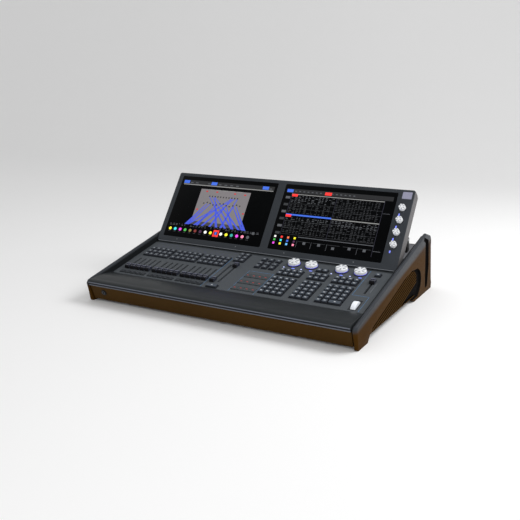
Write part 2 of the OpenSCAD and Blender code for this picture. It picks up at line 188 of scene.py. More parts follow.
def add_bump(tree, shader, size, depth):
    bump = tree.nodes.new("ShaderNodeBump")
    bump.inputs["Strength"].default_value = 1
    bump.inputs["Distance"].default_value = depth * MM
    tree.links.new(noise(tree, size, 2), bump.inputs["Height"])
    tree.links.new(bump.outputs["Normal"], shader.inputs["Normal"])


def surface(name, colour, rough=0.5, vary=0.12, patch=45, grain=0.9, depth=0.05, metallic=0.0, gloss=0.2):
    """Painted, moulded or metal finish: cloudy colour and gloss, and a fine grain."""
    material, tree, shader = new_material(name)
    cloud = noise(tree, patch)
    fine = noise(tree, grain * 2)
    dark = tuple(c * (1 - vary) for c in colour)
    light = tuple(min(1, c * (1 + vary)) for c in colour)
    cloudy = shade_mix(tree, spread(tree, cloud, 0, 1), dark, light)
    speck = shade_mix(tree, spread(tree, fine, 0, 1), dark, light)
    both = tree.nodes.new("ShaderNodeMix")
    both.data_type = "RGBA"
    both.inputs["Factor"].default_value = 0.4
    tree.links.new(cloudy, both.inputs["A"])
    tree.links.new(speck, both.inputs["B"])
    tree.links.new(both.outputs["Result"], shader.inputs["Base Color"])
    tree.links.new(spread(tree, cloud, rough - 0.05, rough + 0.05), shader.inputs["Roughness"])
    shader.inputs["Metallic"].default_value = metallic
    shader.inputs["Specular IOR Level"].default_value = gloss
    add_bump(tree, shader, grain, depth)
    return material


def glow(name, colour, power=1.0, vary=0.15, size=3):
    """Lit plastic or display colour, a little uneven like light through a diffuser."""
    material, tree, shader = new_material(name)
    cloud = spread(tree, noise(tree, size), 0, 1)
    dark = tuple(c * (1 - vary) for c in colour)
    lit = shade_mix(tree, cloud, dark, colour)
    tree.links.new(lit, shader.inputs["Base Color"])
    tree.links.new(lit, shader.inputs["Emission Color"])
    shader.inputs["Emission Strength"].default_value = power
    shader.inputs["Roughness"].default_value = 0.35
    return material


def math_node(tree, operation, first, second):
    node = tree.nodes.new("ShaderNodeMath")
    node.operation = operation
    for socket, value in zip(node.inputs, (first, second)):
        if isinstance(value, float):
            socket.default_value = value
        else:
            tree.links.new(value, socket)
    return node.outputs["Value"]


def object_axes(tree):
    """X, Y and Z of the shaded point, fixed to the object."""
    place = tree.nodes.new("ShaderNodeTexCoord")
    split = tree.nodes.new("ShaderNodeSeparateXYZ")
    tree.links.new(place.outputs["Object"], split.inputs["Vector"])
    return split.outputs


def clouded(tree, cloud, colour, dark):
    """A colour and its darker shade, mixed by a noise value."""
    return shade_mix(tree, cloud, tuple(c * dark for c in colour), colour)


def bronze_and_painted_reflection(name, face_colour, crown_grey_and_reflection):
    """Cheek finish: bronze below; slate along the crown, partly the crown's own grey and partly painted
    reflection; slate fading in up the rear fin as painted reflection.
    """
    material, tree, shader = new_material(name)
    axes = object_axes(tree)
    break_slope, break_low, break_high, fin_low, fin_high = 0.184, 102, 118, 115, 195
    rise = math_node(tree, "MULTIPLY", axes["Y"], break_slope)
    above = math_node(tree, "SUBTRACT", axes["Z"], rise)
    crown = soft_step(tree, above, break_low, break_high)
    # Painted reflection: the slate fading in with height up the rear fin.
    fin = soft_step(tree, axes["Z"], fin_low, fin_high, 0, 0.8)
    share = math_node(tree, "MAXIMUM", crown, fin)
    cloud = spread(tree, noise(tree, 60), 0, 1)
    bronze = clouded(tree, cloud, face_colour, 0.9)
    slate = clouded(tree, cloud, crown_grey_and_reflection, 0.9)
    tree.links.new(shade_mix(tree, share, bronze, slate), shader.inputs["Base Color"])
    tree.links.new(spread(tree, noise(tree, 8), 0.37, 0.47), shader.inputs["Roughness"])
    sheen = soft_step(tree, above, break_low, break_high, 0.01, 0.1)
    tree.links.new(sheen, shader.inputs["Specular IOR Level"])
    add_bump(tree, shader, 0.8, 0.04)
    return material


def slat_bronze_and_painted_shade(name, face_colour, vent_shade_colour):
    """Bronze on the slats' outer faces; painted shade, nearly black, on the faces inside the vent."""
    material, tree, shader = new_material(name)
    across = math_node(tree, "ABSOLUTE", object_axes(tree)["X"], 0.0)
    outer = soft_step(tree, across, SLAT_FACE - 0.3, SLAT_FACE - 0.05)
    cloud = spread(tree, noise(tree, 60), 0, 1)
    bronze = clouded(tree, cloud, face_colour, 0.9)
    inner = clouded(tree, cloud, vent_shade_colour, 0.8)
    tree.links.new(shade_mix(tree, outer, inner, bronze), shader.inputs["Base Color"])
    tree.links.new(spread(tree, noise(tree, 8), 0.4, 0.5), shader.inputs["Roughness"])
    shader.inputs["Specular IOR Level"].default_value = 0
    add_bump(tree, shader, 0.8, 0.04)
    return material


# ---- Mesh drawing ----

def rounded(cx, cy, width, length, radius, steps=3):
    """Corner-rounded rectangle as a ring of points."""
    ring = []
    for k, (sx, sy) in enumerate(((1, 1), (-1, 1), (-1, -1), (1, -1))):
        for i in range(steps + 1):
            angle = math.pi / 2 * (k + i / steps)
            ring.append((cx + sx * (width / 2 - radius) + radius * math.cos(angle),
                         cy + sy * (length / 2 - radius) + radius * math.sin(angle)))
    return ring


def circle(cx, cy, radius, sides=24, flutes=0, flute=0.0):
    """Ring of points on a circle, with a wavy edge if flutes are asked for."""
    ring = []
    for i in range(sides):
        angle = 2 * math.pi * i / sides
        r = radius + flute * math.cos(flutes * angle)
        ring.append((cx + r * math.cos(angle), cy + r * math.sin(angle)))
    return ring


class Shape:
    """Points and faces in one local frame, each face with a material number."""

    def __init__(self):
        self.points, self.faces, self.marks = [], [], []

    def loft(self, rings, heights, mark=0, top_mark=None, top_from=None, cap=True):
        """Skins a stack of equal rings. Faces from ring top_from up take top_mark."""
        start, count = len(self.points), len(rings[0])
        for ring, height in zip(rings, heights):
            self.points += [(x, y, height) for x, y in ring]
        for level in range(len(rings) - 1):
            chosen = top_mark if top_from is not None and level >= top_from else mark
            for i in range(count):
                a, b = start + level * count + i, start + level * count + (i + 1) % count
                self.faces.append((a, b, b + count, a + count))
                self.marks.append(chosen)
        if cap:
            last = start + (len(rings) - 1) * count
            self.faces.append(tuple(range(start + count - 1, start - 1, -1)))
            self.marks.append(mark)
            self.faces.append(tuple(range(last, last + count)))
            self.marks.append(top_mark if top_mark is not None else mark)

    def slab(self, x0, x1, y0, y1, low, high, mark=0, radius=0.4):
        radius = min(radius, (x1 - x0) / 2.2, (y1 - y0) / 2.2)
        ring = rounded((x0 + x1) / 2, (y0 + y1) / 2, x1 - x0, y1 - y0, radius, 2)
        self.loft([ring, ring], [low, high], mark)

    def strip(self, ends, width, low, high, mark=0):
        """Flat straight strip between two points."""
        (x0, y0), (x1, y1) = ends
        length = math.hypot(x1 - x0, y1 - y0)
        nx, ny = -(y1 - y0) / length * width / 2, (x1 - x0) / length * width / 2
        ring = [(x0 - nx, y0 - ny), (x1 - nx, y1 - ny), (x1 + nx, y1 + ny), (x0 + nx, y0 + ny)]
        self.loft([ring, ring], [low, high], mark)

    def polyline(self, route, width, low, high, mark=0):
        for ends in zip(route, route[1:]):
            self.strip(ends, width, low, high, mark)


def link_piece(name, mesh, body, materials, smooth=35):
    """Puts a mesh in the scene as a piece that rides on a body."""
    for material in materials:
        mesh.materials.append(material)
    piece = bpy.data.objects.new(name, mesh)
    bpy.context.scene.collection.objects.link(piece)
    mesh.shade_smooth()
    mesh.set_sharp_from_angle(angle=math.radians(smooth))
    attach(piece, body)
    return piece


def mesh_from(name, shape, space):
    """Mesh in metres from a Shape drawn in the given frame."""
    mesh = bpy.data.meshes.new(name)
    mesh.from_pydata([space @ Vector(p) for p in shape.points], [], shape.faces)
    return mesh


def fix_normals(mesh, merge=None):
    """Turns a mesh's faces outwards, once points nearer than merge are joined."""
    drawing = bmesh.new()
    drawing.from_mesh(mesh)
    if merge:
        bmesh.ops.remove_doubles(drawing, verts=drawing.verts, dist=merge)
    bmesh.ops.recalc_face_normals(drawing, faces=drawing.faces)
    drawing.to_mesh(mesh)
    drawing.free()


def build(name, shape, space, body, materials, smooth=35):
    """Piece from a Shape drawn in the given frame."""
    mesh = mesh_from(name, shape, space)
    mesh.polygons.foreach_set("material_index", shape.marks)
    mesh.validate()
    return link_piece(name, mesh, body, materials, smooth)


def cut_plate(name, outline, holes, low, high, bevel, space, body, materials):
    """Flat plate with holes and rounded edges, from a filled flat curve."""
    curve = bpy.data.curves.new(name, "CURVE")
    curve.dimensions, curve.fill_mode = "2D", "BOTH"
    curve.extrude, curve.bevel_depth = (high - low) / 2 - bevel, bevel
    curve.bevel_resolution, curve.offset = 2, -bevel
    for ring in (outline, *holes):
        spline = curve.splines.new("POLY")
        spline.points.add(len(ring) - 1)
        spline.use_cyclic_u = True
        for point, (x, y) in zip(spline.points, ring):
            point.co = (x, y, 0, 1)
    flat = bpy.data.objects.new(name, curve)
    bpy.context.scene.collection.objects.link(flat)
    graph = bpy.context.evaluated_depsgraph_get()
    mesh = bpy.data.meshes.new_from_object(flat.evaluated_get(graph))
    bpy.data.objects.remove(flat)
    fix_normals(mesh, merge=1e-4)
    mesh.transform(space @ Matrix.Translation((0, 0, (low + high) / 2)))
    mesh.materials.clear()
    return link_piece(name, mesh, body, materials)


def islands(node, space):
    """Boxes (low corner, high corner) of a CAD node's separate solids, in a local frame."""
    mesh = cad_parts[node].data
    drawing = bmesh.new()
    drawing.from_mesh(mesh)
    bmesh.ops.remove_doubles(drawing, verts=drawing.verts, dist=1e-6)
    inverse = space.inverted()
    seen, boxes = set(), []
    for start in drawing.verts:
        if start in seen:
            continue
        stack, group = [start], []
        seen.add(start)
        while stack:
            vert = stack.pop()
            group.append(inverse @ vert.co)
            for edge in vert.link_edges:
                other = edge.other_vert(vert)
                if other not in seen:
                    seen.add(other)
                    stack.append(other)
        low = Vector([min(p[i] for p in group) for i in range(3)])
        high = Vector([max(p[i] for p in group) for i in range(3)])
        boxes.append((low, high))
    drawing.free()
    return sorted(boxes, key=lambda b: (round(b[0].y), round(b[0].x)))


def dress(node, material, soften=None):
    """Gives a CAD node its finish, and soft edges where asked."""
    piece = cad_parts[node]
    piece.data.materials.clear()
    piece.data.materials.append(material)
    if soften:
        bevel = piece.modifiers.new("soft_edges", "BEVEL")
        bevel.width, bevel.segments = soften * MM, 2
        bevel.limit_method, bevel.angle_limit = "ANGLE", math.radians(50)


def middle_of(low, high):
    """Middle of a box, seen square to its frame."""
    return (low.x + high.x) / 2, (low.y + high.y) / 2


def nodes_named(*starts):
    return [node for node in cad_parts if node.startswith(starts)]


def knob_boxes(start, space):
    """Name, box and middle of each knob whose CAD node has a name of this start."""
    for node in nodes_named(start):
        low, high = islands(node, space)[0]
        yield node, low, high, *middle_of(low, high)


# ---- Keys ----

def key_cap(shape, low, high, flat=False):
    """Cap with sloping sides, a shallow dish and a lit mark on its top."""
    cx, cy = middle_of(low, high)
    width, length, rise = high.x - low.x, high.y - low.y, high.z
    taper = 0.5 if flat else 1.5
    # Each ring's inset from the edge, its height and its corner radius.
    steps = [(0, -6.0, 0.8), (0, 0.6, 0.8), (0.35, 1.4, 1.0), (taper, rise - 0.5, 1.6),
             (taper + 0.5, rise - 0.05, 1.8), (taper + 1.6, rise - 0.2, 1.8),
             (taper + 3.2, rise - 0.45, 1.2)]
    rings = [rounded(cx, cy, width - 2 * t, length - 2 * t, r, 2) for t, _, r in steps]
    shape.loft(rings, [h for _, h, _ in steps], 0, 1, top_from=4)
    shape.slab(cx - 2.8, cx + 2.8, cy - 0.4, cy + 1.4, rise - 0.5, rise - 0.12, 2)


def build_keys(node, materials, flat=False, grow=0.0):
    shape = Shape()
    for low, high in islands(node, SLOPE_FRAME):
        margin = Vector((grow, grow, 0))
        key_cap(shape, low - margin, high + margin, flat)
    piece = build(node + "_caps", shape, SLOPE_FRAME, node, materials)
    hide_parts(node)


def key_plastic(name, colour, rough):
    return surface(name, srgb(*colour), rough=rough, patch=9, grain=0.5, gloss=0.1)


def add_keys():
    # The key sides are painted shade: a darker copy of the grey key plastic.
    side = key_plastic("key_side_painted_shade", (34, 37, 43), 0.5)
    top = key_plastic("key_top", (76, 83, 92), 0.55)
    lit_top = key_plastic("playback_key_top", (74, 79, 86), 0.5)
    legend = glow("key_legend", srgb(206, 208, 210), 0.3)
    soft_legend = glow("soft_legend", srgb(158, 162, 166), 0.25)
    flat_side = key_plastic("flat_key", (46, 49, 53), 0.6)
    panel_key = key_plastic("macro_key", (70, 75, 78), 0.55)
    red = glow("red_legend", srgb(186, 46, 40), 0.25)
    dim = surface("unlit_legend", srgb(78, 82, 88), rough=0.6, patch=6, grain=0.5)
    for node in ("playback_keys", "master_keys", "menu_keys"):
        build_keys(node, [side, lit_top, soft_legend])
    for node in ("keypad_left", "keypad_middle", "keypad_right", "blackout_key", "go_key"):
        build_keys(node, [side, top, legend])
    build_keys("macro_keys", [panel_key, panel_key, red], True, grow=0.8)
    build_keys("flash_keys", [flat_side, flat_side, dim], True)


# ---- Faders ----

def fader_cap(shape, low, high):
    """Saddle-shaped cap with finger ridges and a pale line, over a thin stem; a light strip along the top
    is a painted highlight, and the front faces carry painted shade.
    """
    cx, cy = middle_of(low, high)
    width, top = high.x - low.x, high.z
    body, line, crest_highlight, front = range(4)
    ridge_pitch, ridge_drop = 1.3, 0.38
    profile = [(-10.5, 1), (10.5, 1), (9.6, top - 3.6), (8.6, top - 1.6), (7.2, top - 0.4), (5.9, top)]
    for k in range(4):
        y, drop = 4.6 - k * ridge_pitch, ridge_drop * (k + 1)
        profile += [(y, top - 0.35 - drop), (y - 0.5, top - 0.1 - drop)]
    profile += [(0.6, top - 2.3), (-0.6, top - 2.3)]
    for k in range(4):
        y, drop = -1.2 - k * ridge_pitch, ridge_drop * (4 - k)
        profile += [(y, top - 0.1 - drop), (y - 0.5, top - 0.35 - drop)]
    profile += [(-5.9, top), (-7.2, top - 0.4), (-8.6, top - 1.6), (-9.6, top - 3.6)]
    count, start = len(profile), len(shape.points)
    for x, shrink in ((-width / 2, 0.93), (-width / 2 + 0.6, 1), (width / 2 - 0.6, 1), (width / 2, 0.93)):
        shape.points += [(cx + x, cy + y * shrink, 1 + (h - 1) * shrink) for y, h in profile]
    for level in range(3):
        for i in range(count):
            a, b = start + level * count + i, start + level * count + (i + 1) % count
            shape.faces.append((a, a + count, b + count, b))
            # Faces towards the front take the painted shade.
            front_in_shade = max(profile[i][0], profile[(i + 1) % count][0]) < -7
            shape.marks.append(front if front_in_shade else body)
    shape.faces.append(tuple(range(start, start + count)))
    shape.faces.append(tuple(range(start + 4 * count - 1, start + 3 * count - 1, -1)))
    shape.marks += [body, body]
    left, right = cx - width / 2, cx + width / 2
    shape.slab(left + 0.4, right - 0.4, cy - 0.5, cy + 0.5, top - 2.6, top - 2.1, line, 0.2)
    # Painted highlight: a light strip along the top towards the rear.
    shape.slab(left + 0.3, right - 0.3, cy + 5.0, cy + 6.8, top - 0.5, top + 0.02, crest_highlight, 0.3)
    shape.slab(cx - 0.8, cx + 0.8, cy - 3, cy + 3, low.z, 2, body, 0.3)


def add_faders():
    cap = surface("fader_moulding", srgb(46, 49, 60), rough=0.45, patch=8, grain=0.5, gloss=0.1)
    line = surface("fader_line", srgb(190, 190, 196), rough=0.5, patch=5, grain=0.4)
    # A painted highlight strip, and a darker painted shade on each cap's front faces.
    crest_highlight = surface("fader_crest_painted_highlight", srgb(122, 124, 144), rough=0.4, patch=5, grain=0.4)
    front = surface("fader_front_painted_shade", srgb(20, 20, 23), rough=0.5, patch=5, grain=0.4, gloss=0.1)
    for node in nodes_named("fader_knob", "crossfader_knob", "grand_master"):
        shape = Shape()
        for low, high in islands(node, SLOPE_FRAME):
            fader_cap(shape, low, high)
        piece = build(node + "_cap", shape, SLOPE_FRAME, node, [cap, line, crest_highlight, front])
        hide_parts(node)


# ---- Encoders and wheel ----

def dimpled_knob(shape, cx, cy, radius, base, top, flutes, depth, mark, dimple_shade):
    """Scalloped knob whose domed top has one shallow petal per flute, with painted shade on the dimples
    between.
    """
    sides = flutes * 8
    # Each ring's share of the radius, share of the height and share of the scallops' depth.
    levels = [(1.0, 0.0, 0.5), (1.0, 0.35, 1.0), (0.99, 0.7, 1.0), (0.955, 0.9, 1.0), (0.89, 1.0, 0.9),
              (0.74, 1.0, 0.0), (0.55, 0.97, 0.0), (0.34, 1.0, 0.0), (0.15, 1.02, 0.0)]
    start = len(shape.points)
    for share, height, wave in levels:
        for i in range(sides):
            angle = 2 * math.pi * i / sides
            r = share * radius - depth * wave * (0.5 - 0.5 * math.cos(flutes * angle))
            petal = depth * 0.75 * math.cos(flutes * angle) if 0.3 < share < 0.9 and height > 0.9 else 0
            h = base + (top - base) * min(height, 1) + petal * 0.6 - depth * 0.45
            shape.points.append((cx + r * math.cos(angle), cy + r * math.sin(angle), h))
    for level in range(len(levels) - 1):
        for i in range(sides):
            a, b = start + level * sides + i, start + level * sides + (i + 1) % sides
            shape.faces.append((a, b, b + sides, a + sides))
            between = math.cos(flutes * 2 * math.pi * (i + 0.5) / sides) < -0.25
            shape.marks.append(dimple_shade if between and 4 <= level < 7 else mark)
    last = start + (len(levels) - 1) * sides
    shape.faces.append(tuple(range(start + sides - 1, start - 1, -1)))
    shape.faces.append(tuple(range(last, last + sides)))
    shape.marks += [mark, mark]


def add_encoders():
    silver = surface("silver_knob", srgb(244, 246, 249), rough=0.3, vary=0.03, patch=6,
                     grain=0.6, metallic=0.1)
    # Painted shade: a darker copy of the silver for the dimples between the petals.
    dimple_shade = surface("silver_dimple_painted_shade", srgb(172, 175, 182), rough=0.35, vary=0.05, patch=6,
                     grain=0.6, metallic=0.1)
    black = surface("knob_base", srgb(24, 25, 29), rough=0.4, patch=8)
    ring = glow("encoder_ring", srgb(84, 84, 196), 0.55)
    for node, low, high, cx, cy in knob_boxes("desk_encoder", SLOPE_FRAME):
        radius = (high.x - low.x) / 2
        shape = Shape()
        steps = [(radius, 0.8), (radius, 1.8), (radius - 0.5, 2.2)]
        shape.loft([circle(cx, cy, r, 48) for r, _ in steps], [h for _, h in steps], 1)
        steps = [(radius - 1, 2.0), (radius - 0.8, 2.8), (radius - 1.2, 3.8)]
        shape.loft([circle(cx, cy, r, 48) for r, _ in steps], [h for _, h in steps], 2)
        dimpled_knob(shape, cx, cy, radius - 1.2, 3.4, high.z + 0.6, 6, 1.2, 0, 3)
        shape.loft([circle(cx, cy, 3)] * 2, [low.z, 2], 1)
        finishes = [silver, black, ring, dimple_shade]
        piece = build(node + "_knob", shape, SLOPE_FRAME, node, finishes, smooth=50)
        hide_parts(node)
    for node, low, high, cx, cy in knob_boxes("screen_encoder", SCREEN_FRAME):
        radius = (high.x - low.x) / 2
        shape = Shape()
        shape.loft([circle(cx, cy, r, 48) for r in (radius, radius, radius - 0.5)], [0.6, 1.6, 2.0], 1)
        dimpled_knob(shape, cx, cy, radius, 1.8, high.z, 6, 0.9, 0, 2)
        shape.loft([circle(cx, cy, 3)] * 2, [low.z, 2], 1)
        finishes = [silver, black, dimple_shade]
        piece = build(node + "_knob", shape, SCREEN_FRAME, node, finishes, smooth=50)
        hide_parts(node)


def add_wheel():
    white = glow("lit_wheel", srgb(232, 236, 242), 0.2, vary=0.06, size=8)
    hub = surface("wheel_hub", srgb(40, 42, 46), rough=0.5, patch=8)
    low, high = islands("intensity_wheel", SLOPE_FRAME)[0]
    cx, cy, cz = (low + high) / 2
    radius, axle = (high.z - low.z) / 2, (high.x - low.x) / 2
    axle_end, sides, ribs = 7.5, 180, 60
    half = axle - axle_end
    shape = Shape()
    across = Matrix.Translation((cx, cy, cz)) @ Matrix.Rotation(math.pi / 2, 4, "Y")
    steps = [(radius - 2.4, -half, 0), (radius - 0.9, -half + 0.6, 0), (radius - 0.3, -half + 1.8, 0.3),
             (radius - 0.3, half - 1.8, 0.3), (radius - 0.9, half - 0.6, 0), (radius - 2.4, half, 0)]
    shape.loft([circle(0, 0, r, sides, ribs, f) for r, _, f in steps], [h for _, h, _ in steps])
    shape.loft([circle(0, 0, 4)] * 2, [-axle, axle], 1)
    piece = build("intensity_wheel_rim", shape, SLOPE_FRAME @ across, "intensity_wheel",
                  [white, hub], smooth=60)
    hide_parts("intensity_wheel")
    frame_x, frame_y, rim = half + 1.6, 23.1, 3
    shape = Shape()
    for side in (-1, 1):
        x0, x1 = sorted((cx + side * frame_x, cx + side * (frame_x + rim)))
        shape.slab(x0, x1, cy - frame_y - rim, cy + frame_y + rim, -0.05, 0.6, 0, 0.5)
        y0, y1 = sorted((cy + side * frame_y, cy + side * (frame_y + rim)))
        shape.slab(cx - frame_x, cx + frame_x, y0, y1, -0.05, 0.6, 0, 0.5)
    build("wheel_surround", shape, SLOPE_FRAME, "desk", [hub])


# ---- Prints and lamps on the control surface ----

def scale_marks(shape, x0, x1, start, pitch, low, high):
    """Eleven short marks beside a fader, from its lower end up."""
    for k in range(11):
        y = start + pitch * k
        shape.slab(x0, x1, y, y + 0.6, low, high, 1, 0.1)


def add_prints():
    """Thin printed outlines, scales and legend dashes, with no lettering."""
    inks = {"blue_print": (84, 124, 164), "grey_print": (120, 124, 130), "violet_print": (84, 84, 116)}
    prints = [surface(name, srgb(*colour), rough=0.6, patch=12, grain=0.6, depth=0.01)
              for name, colour in inks.items()]
    black = surface("slot_border", srgb(16, 16, 18), rough=0.6, patch=12, grain=0.6, gloss=0.05)
    shape = Shape()
    low, high = -0.05, 0.12
    outlines = [
        [(-92, -40), (-92, -226)],
        [(80, -226), (80, -101), (0, -101), (0, -226)],
        [(338, -2), (338, -146), (386, -146), (386, -226)],
    ]
    for route in outlines:
        shape.polyline(route, 1.0, low, high, 0)
    for track_low, track_high in islands("fader_tracks", SLOPE_FRAME):
        cx = (track_low.x + track_high.x) / 2
        for x in (cx - 2.8, cx + 1.6):
            shape.slab(x, x + 1.2, track_low.y + 8.5, track_high.y - 8.5, low, high, 3, 0.2)
    for x in (-81.5, -45.5):
        scale_marks(shape, x - 1.6, x + 1.6, -181, 9.4, low, high)
    scale_marks(shape, 376, 379.5, -124, 5.6, low, high)
    shape.slab(379.5, 380.2, -124, -68, low, high, 1, 0.1)
    lowest_row = -90
    for box_low, box_high in islands("playback_keys", SLOPE_FRAME):
        cx = (box_low.x + box_high.x) / 2
        if box_low.y < lowest_row:
            shape.slab(cx - 5, cx + 5, -29, -28, low, high, 2, 0.2)
            shape.slab(cx - 6, cx + 3, -22, -21.2, low, high, 2, 0.2)
            shape.slab(cx - 4, cx + 6, -8, -7, low, high, 2, 0.2)
    build("panel_prints", shape, SLOPE_FRAME, "desk", [*prints, black])


def add_lamps():
    """Small lamps beside each desk encoder, and under each screen encoder."""
    white = glow("status_lamp", srgb(190, 198, 250), 0.8)
    pale_blue = glow("page_lamp", srgb(120, 134, 240), 0.7)
    shape = Shape()
    for *_, cx, cy in knob_boxes("desk_encoder", SLOPE_FRAME):
        shape.loft([circle(cx - 22, cy - 25, r, 16) for r in (2.2, 2.2, 1.6)], [-0.2, 0.5, 1.0])
        shape.slab(cx + 3.5, cx + 13, cy - 27.5, cy - 24, -0.2, 0.5, 1, 1.2)
    build("desk_lamps", shape, SLOPE_FRAME, "desk", [white, pale_blue])
    shape = Shape()
    for *_, cx, cy in knob_boxes("screen_encoder", SCREEN_FRAME):
        shape.slab(cx - 8, cx - 4, cy - 25, cy - 17, -0.2, 0.5, 0, 1.6)
    build("screen_lamps", shape, SCREEN_FRAME, "screen_unit", [pale_blue])


# ---- Screen unit ----

LIT_WIDTH = 344.2
LIT_LEFT = (-382.3, 6.8)
ART_LOW, ART_HIGH, LAYER_RISE = -0.22, -0.12, 0.03


def screen_palette():
    colours = {
        "dark": (14, 15, 18), "line": (118, 118, 117), "dash": (68, 70, 74),
        "faint": (36, 38, 41), "blue": (50, 92, 196), "red": (226, 42, 38), "stage": (104, 100, 102),
        "shade": (52, 50, 52), "beam": (54, 72, 186), "mark": (170, 30, 32), "white": (226, 226, 222),
        "yellow": (232, 224, 40), "cyan": (60, 206, 214), "magenta": (214, 66, 206),
        "green": (64, 160, 66),
        "olive": (122, 108, 52), "maroon": (112, 36, 32), "teal": (40, 150, 140), "pink": (240, 130, 160),
        "orange": (222, 110, 70), "sky": (96, 170, 222), "plum": (60, 24, 60), "rule": (34, 34, 48),
    }
    names = list(colours)
    return names, [glow("screen_" + n, srgb(*colours[n]), 0.8, 0.12, 2) for n in names]


class Art(Shape):
    """Flat display marks in millimetres from the lit area's lower left corner."""

    def __init__(self, left, names):
        super().__init__()
        self.left, self.names = left, names

    def area(self, x, y, width, height, name, layer=0):
        corners = [(x, y), (x + width, y), (x + width, y + height), (x, y + height)]
        self.quad(corners, name, layer)

    def quad(self, corners, name, layer=0):
        lift = layer * LAYER_RISE
        ring = [(x + self.left, y) for x, y in corners]
        self.loft([ring, ring], [ART_LOW + lift, ART_HIGH + lift], self.names.index(name))


def dash_rows(art, chance, x, y, width, rows, pitch, length, name):
    """Rows of short dashes of uneven length, like a table seen from afar."""
    for row in range(rows):
        place = x
        while place < x + width - length:
            size = length * chance.uniform(0.35, 1)
            if chance.random() < 0.8:
                art.area(place, y - row * pitch, size, pitch * 0.34, name, 1)
            place += length * 1.25


def left_screen(names, chance):
    art = Art(LIT_LEFT[0], names)
    art.area(0, 180, LIT_WIDTH, 13, "dark")
    for x in (1, 109, 302):
        art.area(x, 181, 22, 11, "blue", 1)
    for x in (28, 48, 96, 138, 160, 182, 204, 326):
        art.area(x, 183, 10, 3, "dash", 1)
    art.area(2, 176, LIT_WIDTH - 4, 3, "line", 1)
    art.area(78, 48, 188, 117, "stage")
    art.area(74, 36, 196, 12, "shade")
    for x, y in ((99, 155), (138, 155), (206, 154), (244, 153), (83, 88), (257, 88)):
        art.area(x, y, 7, 4.5, "mark", 2)
    for k in range(5):
        art.area(107 + 27 * k, 163, 20, 2, "line", 1)
    upper = [118 + 10.6 * k for k in range(11)]
    lower = [104 + 12.4 * k for k in range(12)]
    for x in upper:
        art.area(x - 2, 138, 4, 5, "dark", 2)
    for k, x in enumerate(lower):
        art.area(x - 2.5, 112 + 4 * math.sin(k * 1.4), 5, 4, "dark", 2)
    upper_beams = ((0, 7.2), (1, 8.4), (2, 5.6), (2, 9.6), (8, 1.6), (8, 4.4), (9, 0.4), (9, 3.0),
                   (10, 6.4))
    for start, end in upper_beams:
        x0, x1 = upper[start], 62 + 21 * end
        art.quad([(x1 - 4.5, 34), (x1 + 4.5, 34), (x0 + 1.2, 139), (x0 - 1.2, 139)], "beam", 1)
    for start, x1 in ((1, 62), (2, 70), (9, 276), (10, 284), (4, 106), (7, 240)):
        x0 = lower[start]
        art.quad([(x1 - 4.5, 34), (x1 + 4.5, 34), (x0 + 1.2, 113), (x0 - 1.2, 113)], "beam", 1)
    dash_rows(art, chance, 3, 31, 336, 2, 4.2, 9, "dash")
    icons = ["yellow", "cyan", "magenta", "green", "olive", "maroon", "plum", "white", "yellow", "blue",
             "white", "yellow", "teal", "magenta", "pink", "dash"]
    for k, name in enumerate(icons):
        x, size = 3 + 19.6 * k, 5.5
        middle = (x + 6, 13.5)
        angles = [a * math.pi / 4 + 0.4 for a in range(8)]
        ring = [(middle[0] + size * math.cos(a), middle[1] + size * math.sin(a)) for a in angles]
        if name == "blue":
            art.area(x - 4, 2, 21, 23, "red", 1)
            art.area(x, 8, 13, 11, "dark", 2)
            ring = [(middle[0] + (px - middle[0]) * 0.7, py) for px, py in ring]
        art.quad(ring, name, 3)
        art.area(x + 1, 3.5, 9, 1.6, "faint", 3)
    art.area(314, 24, 8, 9, "dash", 1)
    return art


def right_screen(names, chance):
    art = Art(LIT_LEFT[1], names)
    art.area(0, 178, LIT_WIDTH, 14, "dark")
    art.area(1, 180, 21, 10, "blue", 1)
    art.area(129, 179, 22, 10, "red", 1)
    for k in range(13):
        art.area(28 + 14 * k + (24 if k > 6 else 0), 183, 6, 3, "dash", 1)
    art.area(20, 173, 300, 2.4, "line", 1)
    art.area(22, 166.5, 19, 8.5, "red", 2)
    art.area(20, 102.5, 150, 5, "blue", 1)
    art.area(170, 101.5, 150, 3, "line", 1)
    art.area(20, 97, 19, 8, "red", 2)
    for x in (20, 171):
        art.area(x, 36, 1, 137, "rule", 1)
    art.area(320, 0, 1, 176, "rule", 1)
    for y in (143, 126, 84, 60, 40):
        art.area(21, y, 298, 0.8, "faint", 1)
    for k in range(7):
        art.area(42 + 19 * k, 40, 0.6, 130, "faint", 1)
        art.area(190 + 19 * k, 40, 0.6, 130, "faint", 1)
    dash_rows(art, chance, 24, 168, 146, 5, 5.2, 9, "dash")
    dash_rows(art, chance, 24, 138, 146, 6, 5.2, 10, "faint")
    dash_rows(art, chance, 174, 168, 146, 12, 5.2, 8, "faint")
    dash_rows(art, chance, 24, 94, 146, 2, 5.2, 7, "dash")
    dash_rows(art, chance, 24, 82, 146, 8, 5.2, 9, "faint")
    dash_rows(art, chance, 174, 96, 146, 4, 5.2, 9, "dash")
    dash_rows(art, chance, 174, 74, 146, 7, 5.2, 9, "faint")
    for k in range(6):
        art.area(2, 158 - 24 * k, 15, 8, "faint" if k % 2 else "dash", 1)
    dots = [["white", "red", "orange", "yellow"], ["green", "cyan", "blue", "plum"],
            ["magenta", "yellow", "sky", "pink"]]
    for row, line in enumerate(dots):
        for column, name in enumerate(line):
            art.area(3 + 22 * column, 26 - 11 * row, 6.5, 6.5, name, 1)
    art.area(82, 33, 238, 2.2, "dash", 1)
    for x in (82, 129, 179, 274):
        art.area(x, 1, 0.9, 21, "dash", 1)
    for x, y in ((102, 12), (150, 12), (196, 7), (246, 12), (292, 12)):
        art.area(x, y, 9, 8, "dash", 1)
        art.area(x - 16, 20, 40, 1, "faint", 1)
    art.area(322, 136, 22, 1, "dash", 1)
    art.area(322, 17, 22, 1.4, "dash", 1)
    return art


